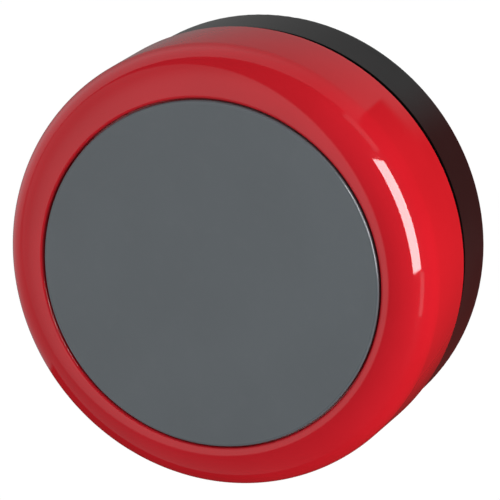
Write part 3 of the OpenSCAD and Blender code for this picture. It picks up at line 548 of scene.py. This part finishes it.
def shell_finish():
    """Black base plastic: smooth, with painted shade making the edge under the cap near black and
    unreflective, and scuffs where it slides on a table.
    """
    material, nodes, links, shader = new_finish("black_shell")
    place = nodes.new("ShaderNodeTexCoord").outputs["Object"]
    skin = placed(nodes, links, shared["grain"], place, 1300)
    use = placed(nodes, links, shared["handling"], place)
    axis = nodes.new("ShaderNodeSeparateXYZ")
    links.new(place, axis.inputs["Vector"])
    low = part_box("base_shell")[0].z
    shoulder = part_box("press_cap")[0].z - 2 * MM
    # painted shade: from just under the shoulder upwards the base stands for the shadow in the gap under the
    # cap
    edge = ramp(nodes, links, axis.outputs["Z"], shoulder - 0.9 * MM, shoulder - 0.4 * MM, 0, 1)
    foot = ramp(nodes, links, axis.outputs["Z"], low + 3 * MM, low, 0, 1)
    body = tinted(nodes, links, skin["Tone"], (0.0125, 0.012, 0.012), (0.0165, 0.016, 0.016))
    scuffed = times(nodes, links, foot, use["Rubbed"])
    body = tinted(nodes, links, faded(nodes, links, scuffed, 0.5), body, (0.06, 0.06, 0.06))
    body = tinted(nodes, links, faded(nodes, links, use["Scratch"], 0.25), body, (0.05, 0.05, 0.05))
    # painted shade: near black colour and full metallic there, so the edge neither shows its plastic nor
    # mirrors the softbox
    body = tinted(nodes, links, edge, body, (0.002, 0.002, 0.002))
    links.new(edge, shader.inputs["Metallic"])
    links.new(body, shader.inputs["Base Color"])
    rough = ramp(nodes, links, use["Rubbed"], 0, 1, 0.2, 0.27)
    links.new(blend(nodes, links, edge, rough, 0.85), shader.inputs["Roughness"])
    raised(nodes, links, shader, skin["Height"], 0.006)
    return material


def label_finish():
    """Satin grey plate with a fine even grain and a smoother turned rim."""
    material, nodes, links, shader = new_finish("grey_label")
    place = nodes.new("ShaderNodeTexCoord").outputs["Object"]
    skin = placed(nodes, links, shared["grain"], place, 1600)
    use = placed(nodes, links, shared["handling"], place)
    flat = stretched(nodes, links, place, (1, 1, 0))
    reach = nodes.new("ShaderNodeVectorMath")
    reach.operation = "LENGTH"
    links.new(flat, reach.inputs[0])
    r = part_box("label_disc")[1].x
    rim = ramp(nodes, links, reach.outputs["Value"], r - 0.7 * MM, r - 0.4 * MM, 0, 1)
    grey = tinted(nodes, links, skin["Tone"], (0.14, 0.161, 0.176), (0.147, 0.169, 0.185))
    grey = tinted(nodes, links, faded(nodes, links, use["Scratch"], 0.06), grey, (0.3, 0.3, 0.3))
    settled = placed(nodes, links, shared["dust"], place)["Dust"]
    grey = tinted(nodes, links, faded(nodes, links, settled, 0.015), grey, (0.4, 0.4, 0.38))
    links.new(grey, shader.inputs["Base Color"])
    satin = ramp(nodes, links, use["Rubbed"], 0, 1, 0.36, 0.32)
    links.new(blend(nodes, links, rim, satin, 0.16), shader.inputs["Roughness"])
    raised(nodes, links, shader, skin["Height"], 0.005)
    return material


def foam_finish():
    """Open-cell foam: grey cell walls, with painted shade darkening the hollow of each cell."""
    material, nodes, links, shader = new_finish("gasket_foam")
    place = nodes.new("ShaderNodeTexCoord").outputs["Object"]
    cells = nodes.new("ShaderNodeTexVoronoi")
    cells.inputs["Scale"].default_value = 1400
    links.new(place, cells.inputs["Vector"])
    walls = ramp(nodes, links, cells.outputs["Distance"], 0.2, 0.6, 0, 1)
    # painted shade: each cell is darkest where its hollow sinks deepest
    grey = tinted(nodes, links, walls, (0.01, 0.01, 0.01), (0.07, 0.07, 0.07))
    links.new(grey, shader.inputs["Base Color"])
    links.new(ramp(nodes, links, walls, 0, 1, 1.0, 0.85), shader.inputs["Roughness"])
    raised(nodes, links, shader, walls, 0.08)
    return material


def make_finishes():
    """Every finish of the record by its slot's name."""
    shared.update(grain=make_moulding_grain(), handling=make_handling(), dust=make_settled_dust(),
                  drawn=make_drawn_metal())
    # after colour and roughness: the grain's scale and depth in millimetres, spread of tone, wear
    return {
        "red_gloss": cap_finish(),
        "grey_label": label_finish(),
        "black_shell": shell_finish(),
        "black_inner": plastic("black_inner", (0.022, 0.023, 0.024), 0.42, 1000, 0.008, 0.1),
        "foot_rubber": plastic("foot_rubber", (0.018, 0.018, 0.018), 0.75, 500, 0.02, 0.2, 0.5, specular=0.3),
        "screw_steel": metal("screw_steel", (0.62, 0.61, 0.58), 0.26),
        "spring_steel": metal("spring_steel", (0.5, 0.5, 0.5), 0.3),
        "contact_nickel": metal("contact_nickel", (0.72, 0.7, 0.65), 0.22),
        "board_green": board_finish(),
        "chip_epoxy": plastic("chip_epoxy", (0.01, 0.01, 0.01), 0.28, 700, 0.01, 0.1),
        "capacitor_sleeve": plastic("capacitor_sleeve", (0.02, 0.04, 0.1), 0.3, 800, 0.004, 0.08),
        "resistor_body": plastic("resistor_body", (0.6, 0.45, 0.25), 0.5, 900, 0.01, 0.12),
        "silicone": plastic("silicone", (0.7, 0.7, 0.66), 0.55, 900, 0.008, 0.05, dust=0.2),
        "carbon_pill": plastic("carbon_pill", (0.015, 0.015, 0.015), 0.7, 1200, 0.01, 0.2),
        "speaker_steel": metal("speaker_steel", (0.45, 0.46, 0.48), 0.3),
        "magnet": plastic("magnet", (0.075, 0.075, 0.08), 0.48, 900, 0.02, 0.2, 0.4),
        "cone_film": plastic("cone_film", (0.04, 0.035, 0.03), 0.38, 600, 0.01, 0.1),
        "terminal_board": plastic("terminal_board", (0.35, 0.2, 0.08), 0.6, 900, 0.01, 0.15),
        "gasket_foam": foam_finish(),
        "battery_sleeve": battery_finish(),
        "switch_white": plastic("switch_white", (0.75, 0.75, 0.72), 0.35, 900, 0.005, 0.03, 0.3),
        "wire_red": plastic("wire_red", (0.6, 0.02, 0.02), 0.4, 900, 0.004, 0.08),
        "wire_black": plastic("wire_black", (0.02, 0.02, 0.02), 0.4, 900, 0.004, 0.1),
    }


# ---------------------------------------------------------------- pieces

def add(piece, body, slot):
    """Puts a new piece on its body with its finish."""
    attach(piece, body)
    piece.data.materials.clear()
    piece.data.materials.append(finishes[slot])


def ringed(angles, radius):
    """Places on a ring about the buzzer's axis, in degrees and millimetres."""
    return [(radius * math.cos(math.radians(a)), radius * math.sin(math.radians(a))) for a in angles]


def spun_at(bm, outline, steps, x, y):
    """Turns an outline about a standing axis at x, y in millimetres."""
    turned_part = bmesh.new()
    turned(turned_part, outline, steps)
    bmesh.ops.translate(turned_part, verts=turned_part.verts, vec=(x * MM, y * MM, 0))
    holder = bpy.data.meshes.new("holder")
    turned_part.to_mesh(holder)
    turned_part.free()
    bm.from_mesh(holder)
    bpy.data.meshes.remove(holder)


def gives_way(piece):
    """Gives a piece on the deck a mesh of its own."""
    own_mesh(piece)


def rib(bm, length, thick, low, high, out, angle):
    """A standing rib with eased edges whose middle lies out from the axis at an angle."""
    ease = 0.25
    made = bmesh.ops.create_cube(bm, size=1)["verts"]
    bmesh.ops.scale(bm, verts=made, vec=(length * MM, thick * MM, (high - low) * MM))
    bmesh.ops.translate(bm, verts=made, vec=(out * MM, 0, (low + high) / 2 * MM))
    edges = list({e for v in made for e in v.link_edges})
    eased = bmesh.ops.bevel(bm, geom=edges, offset=ease * MM, segments=3, profile=0.5, affect="EDGES",
                            material=-1)
    bmesh.ops.rotate(bm, verts=list({v for f in eased["faces"] for v in f.verts}), cent=(0, 0, 0),
                     matrix=Matrix.Rotation(math.radians(angle), 3, "Z"))


def make_cap():
    """The red cap, turned as a shell, with its guide posts, plunger and centring ring, and ribs inside."""
    low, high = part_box("press_cap")
    r, rim, crown = high.x / MM, low.z / MM, high.z / MM
    wall, roof, fillet, inner_fillet, rim_round = 2, 2.2, 8.5, 6.5, 0.4
    pocket_r, pocket_floor, pocket_lip = 35.5, 38.4, 0.7
    inner, top = r - wall, pocket_floor - roof
    # the flat is split half way out, so that its faces aren't long slivers
    outline = [(0, pocket_floor), (pocket_r / 2, pocket_floor), (pocket_r, pocket_floor)]
    outline += arc(pocket_r + pocket_lip, crown - pocket_lip, pocket_lip, 180, 90, 8)
    outline += arc(r - fillet, crown - fillet, fillet, 90, 0, 48)
    outline += arc(r - rim_round, rim + rim_round, rim_round, 0, -90, 6)
    outline += arc(inner + rim_round, rim + rim_round, rim_round, -90, -180, 6)
    outline += arc(inner - inner_fillet, top - inner_fillet, inner_fillet, 0, 90, 16)
    outline += [(0, top)]
    bm = bmesh.new()
    turned(bm, outline, 288)

    # guide posts with their thread holes
    post_r, post_round = 3, 0.3
    hole_r, hole_depth = 1.33, 8.5
    sunk = 0.3
    post_low, post_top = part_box("guide_washers")[1].z / MM, top + sunk
    hole_top = post_low + hole_depth
    post = [(0, hole_top), (hole_r, hole_top), (hole_r, post_low + post_round)]
    post += [(hole_r + post_round, post_low)]
    post += arc(post_r - post_round, post_low + post_round, post_round, -90, 0, 4)
    post += [(post_r, post_top), (0, post_top)]
    for x, y in ringed(GUIDE_ANGLES, GUIDE_RING):
        spun_at(bm, post, 40, x, y)

    # the plunger over the silicone key, and the ring round it
    key_top, plunger_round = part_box("dome_switch")[1].z / MM, 0.5
    plunger = [(0, key_top)]
    plunger += arc(KEY_RADIUS - plunger_round, key_top + plunger_round, plunger_round, -90, 0, 6)
    plunger += [(KEY_RADIUS, post_top), (0, post_top)]
    spun_at(bm, plunger, 48, 0, 0)
    ring_in, ring_out, ring_low = 6.8, 8, top - 1.5
    ring = [(ring_in, post_top), (ring_in, ring_low), (ring_out, ring_low), (ring_out, post_top)]
    spun_at(bm, ring, 64, 0, 0)
    piece = finished_mesh(bm, "red_cap", 35)
    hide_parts("press_cap")
    add(piece, "cap", "red_gloss")

    # ribs are pieces of their own so that their eased edges keep clean shading
    bm = bmesh.new()
    rib_thick, stops = 1.6, 8
    stop_length, stop_out, stop_high = 3.4, 41.5, 31.3
    below_springs = 7.4
    stop_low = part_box("return_springs")[0].z / MM - below_springs
    for i in range(stops):
        rib(bm, stop_length, rib_thick, stop_low, stop_high, stop_out, (i + 0.5) * 360 / stops)
    cross_length, cross_out, cross_depth, cross_sink = 22.6, 18.7, 1.2, 0.4
    for a in GUIDE_ANGLES:
        rib(bm, cross_length, rib_thick, top - cross_depth, top + cross_sink, cross_out, a)
    add(finished_mesh(bm, "cap_ribs", 35), "cap", "red_gloss")


def make_label_disc():
    """The flat grey disc, with a rounded rim."""
    low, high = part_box("label_disc")
    r, z0, z1 = high.x / MM, low.z / MM, high.z / MM
    under_round, rim_round = 0.15, 0.5
    outline = [(0, z0)] + arc(r - under_round, z0 + under_round, under_round, -90, 0, 4)
    outline += arc(r - rim_round, z1 - rim_round, rim_round, 0, 90, 12)
    outline += [(r / 2, z1), (0, z1)]
    bm = bmesh.new()
    turned(bm, outline, 288)
    piece = finished_mesh(bm, "grey_disc", 35)
    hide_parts("label_disc")
    add(piece, "cap", "grey_label")


def make_feet():
    """Turned rubber feet with a rounded tread and a shallow moulded cup in the middle."""
    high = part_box("rubber_feet")[1]
    top = high.z / MM
    r = high.x / MM - FOOT_RING
    cup_r, cup_depth, tread_round, top_round = r * 0.45, 0.35, 0.6, 0.1
    outline = [(0, cup_depth), (cup_r, cup_depth)]
    outline += arc(cup_r + cup_depth, cup_depth, cup_depth, 180, 270, 5)
    outline += arc(r - tread_round, tread_round, tread_round, -90, 0, 8)
    outline += arc(r - top_round, top - top_round, top_round, 0, 90, 2) + [(0, top)]
    bm = bmesh.new()
    for x, y in ringed(FOOT_ANGLES, FOOT_RING):
        spun_at(bm, outline, 64, x, y)
    piece = finished_mesh(bm, "rubber_pads", 40)
    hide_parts("rubber_feet")
    add(piece, "housing", "foot_rubber")


def make_springs():
    """Coiled wire springs on the guides; each ring of the wire is closed at both ends."""
    low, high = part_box("return_springs")
    wire, turns, per_turn = 0.3, 4.5, 28
    coil_r = high.x / MM - GUIDE_RING * math.cos(math.radians(45)) - wire
    bottom, top = low.z / MM + wire, high.z / MM - wire
    bm = bmesh.new()
    steps = int(turns * per_turn)
    for x, y in ringed(GUIDE_ANGLES, GUIDE_RING):
        made = bmesh.ops.create_circle(bm, cap_ends=True, segments=10, radius=wire * MM)["verts"]
        bmesh.ops.rotate(bm, verts=made, cent=(0, 0, 0), matrix=Matrix.Rotation(math.radians(90), 3, "X"))
        bmesh.ops.translate(bm, verts=made, vec=((x + coil_r) * MM, y * MM, bottom * MM))
        start = list({f for v in made for f in v.link_faces})
        step = (top - bottom) / steps * MM
        bmesh.ops.spin(bm, geom=start, cent=(x * MM, y * MM, 0), axis=(0, 0, 1), dvec=(0, 0, step),
                       angle=2 * math.pi * turns, steps=steps)
    bmesh.ops.recalc_face_normals(bm, faces=bm.faces)
    piece = finished_mesh(bm, "coil_springs", 50)
    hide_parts("return_springs")
    add(piece, "housing", "spring_steel")
    gives_way(piece)


def make_key_dome():
    """A silicone key on a thin cone that gives way under the plunger."""
    low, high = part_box("dome_switch")
    bottom, top, key_r = low.z / MM, high.z / MM, KEY_RADIUS
    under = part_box("contact_pill")[1].z / MM
    hollow_r, hollow_step, hollow_gap = 5, 0.6, 0.6
    foot_r, foot_h, foot_round, foot_cut, web_r = 7, 1.2, 0.3, 0.2, 6.2
    neck_out, neck_drop, neck_round, key_round = 0.9, 1.0, 0.5, 0.4
    outline = [(0, under), (key_r - hollow_gap, under), (hollow_r, bottom + hollow_step), (hollow_r, bottom)]
    outline += [(foot_r - foot_cut, bottom)]
    outline += arc(foot_r - foot_round, bottom + foot_h - foot_round, foot_round, 0, 90, 4)
    outline += [(web_r, bottom + foot_h)]
    outline += arc(key_r + neck_out, top - neck_drop, neck_round, 225, 180, 3)
    outline += arc(key_r - key_round, top - key_round, key_round, 0, 90, 6) + [(0, top)]
    bm = bmesh.new()
    turned(bm, outline, 64)
    piece = finished_mesh(bm, "key_dome", 40)
    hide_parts("dome_switch")
    add(piece, "housing", "silicone")
    gives_way(piece)


def make_sound_chip():
    """A drop of black epoxy over the bare chip, as it sets on the board."""
    low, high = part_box("sound_chip")
    r, z0, z1 = (high.x - low.x) / 2 / MM, low.z / MM, high.z / MM
    rise = z1 - z0
    ball = (r * r + rise * rise) / (2 * rise)
    start = math.degrees(math.asin((ball - rise) / ball))
    bm = bmesh.new()
    middle = (low + high) / 2 / MM
    spun_at(bm, [(0, z0)] + arc(0, z1 - ball, ball, start, 90, 12), 64, middle.x, middle.y)
    piece = finished_mesh(bm, "epoxy_drop", 40)
    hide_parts("sound_chip")
    add(piece, "housing", "chip_epoxy")


def eased_copy(node_name, piece_name, body, width):
    """A CAD node's own shape with its sharp edges eased as a mould or a tool leaves them."""
    slots = {part["node"]: part["material_slot"] for part in frame["record"]["subparts"]}
    bm = bmesh.new()
    bm.from_mesh(frame["nodes"][node_name].data)
    bmesh.ops.remove_doubles(bm, verts=bm.verts, dist=1e-6)
    bmesh.ops.dissolve_limit(bm, angle_limit=math.radians(0.5), verts=bm.verts, edges=bm.edges)
    piece = finished_mesh(bm, piece_name, 35)
    eased = piece.modifiers.new("eased_edges", "BEVEL")
    eased.width = width * MM
    eased.segments = 2
    eased.limit_method = "ANGLE"
    eased.angle_limit = math.radians(50)
    eased.harden_normals = True
    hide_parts(node_name)
    add(piece, body, slots[node_name])


def make_batteries():
    """Two cells: a sleeve rolled over both ends, a recessed minus plate, a groove and a plus cap."""
    for cad, name, side in (("battery_1", "front_cell", 1), ("battery_2", "rear_cell", -1)):
        low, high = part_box(cad)
        length, r = (high.x - low.x) / MM, (high.z - low.z) / 2 / MM
        nub_r, nub_h, nub_round = 1.9, 1, 0.4
        roll, plate_step, groove = 0.55, 0.25, 0.35
        plate_r, step_r, rolled_r = r * 0.72, r * 0.78, r * 0.84
        groove_out, groove_out_foot, groove_in_foot, groove_in = r - 0.9, r - 0.95, nub_r + 0.9, nub_r + 0.8
        shoulder = length - nub_h
        outline = [(0, 0), (plate_r, 0), (step_r, plate_step), (rolled_r, plate_step)]
        outline += arc(r - roll, roll, roll, -90, 0, 8) + arc(r - roll, shoulder - roll, roll, 0, 90, 8)
        outline += [(groove_out, shoulder), (groove_out_foot, shoulder - groove)]
        outline += [(groove_in_foot, shoulder - groove), (groove_in, shoulder), (nub_r, shoulder)]
        outline += arc(nub_r - nub_round, length - nub_round, nub_round, 0, 90, 6) + [(0, length)]
        bm = bmesh.new()
        turned(bm, outline, 72)
        share = bm.verts.layers.float.new("along")
        for v in bm.verts:
            v[share] = v.co.z / (length * MM)
        bmesh.ops.translate(bm, verts=bm.verts, vec=(0, 0, -length / 2 * MM))
        lying = Matrix.Rotation(math.radians(90 * side), 3, "Y")
        bmesh.ops.rotate(bm, verts=bm.verts, cent=(0, 0, 0), matrix=lying)
        bmesh.ops.translate(bm, verts=bm.verts, vec=(low + high) / 2)
        piece = finished_mesh(bm, name, 35)
        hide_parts(cad)
        add(piece, "housing", "battery_sleeve")


def thread(bm, x, y, r, z0, z1, pitch):
    """A closed ridge wound round a screw's shank, all in millimetres."""
    depth, sunk, per_turn = 0.22, 0.1, 20
    foot, root = pitch * 0.4, r - sunk
    corners = [bm.verts.new(((x + out) * MM, y * MM, (z0 + up) * MM))
               for out, up in ((root, -foot), (r + depth, 0), (root, foot))]
    ridge = bm.faces.new(corners)
    turns = (z1 - z0) / pitch
    steps = int(turns * per_turn)
    bmesh.ops.spin(bm, geom=[ridge], cent=(x * MM, y * MM, 0), axis=(0, 0, 1),
                   dvec=(0, 0, (z1 - z0) / steps * MM), angle=2 * math.pi * turns, steps=steps)


def make_threads():
    """The threads of the screws that hold the housing, the guides and the door."""
    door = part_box("door_screws")
    head_r, tip = 2.2, 0.5
    ear_x = door[1].x / MM - head_r
    ear_y = (door[0].y + door[1].y) / 2 / MM
    # CAD node, piece, body, places, shank radius, pitch, share of the height that has no thread
    rows = (("housing_screws", "shell_threads", "housing", ringed(FOOT_ANGLES, FOOT_RING), 1.3, 1.0, 0.3),
            ("guide_screws", "guide_threads", "cap", ringed(GUIDE_ANGLES, GUIDE_RING), 1.3, 0.9, 0.32),
            ("door_screws", "door_threads", "door", ((ear_x, ear_y), (-ear_x, ear_y)), 1.0, 0.7, 0.5))
    for cad, name, body, places, r, pitch, bare in rows:
        low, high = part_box(cad)
        start = (low.z + (high.z - low.z) * bare) / MM
        bm = bmesh.new()
        for x, y in places:
            thread(bm, x, y, r, start, high.z / MM - tip, pitch)
        bmesh.ops.recalc_face_normals(bm, faces=bm.faces)
        add(finished_mesh(bm, name, 30), body, "screw_steel")


def finish_cad_nodes():
    """The CAD nodes that keep their own mesh get the finish of their slot."""
    for part in frame["record"]["subparts"]:
        node = frame["nodes"][part["node"]]
        for slot in node.material_slots:
            slot.material = finishes[part["material_slot"]]


make_camera()
make_studio()
finishes.update(make_finishes())
finish_cad_nodes()
make_cap()
make_label_disc()
make_feet()
make_springs()
make_key_dome()
make_sound_chip()
make_batteries()
make_threads()
for row in EASED:
    eased_copy(*row)
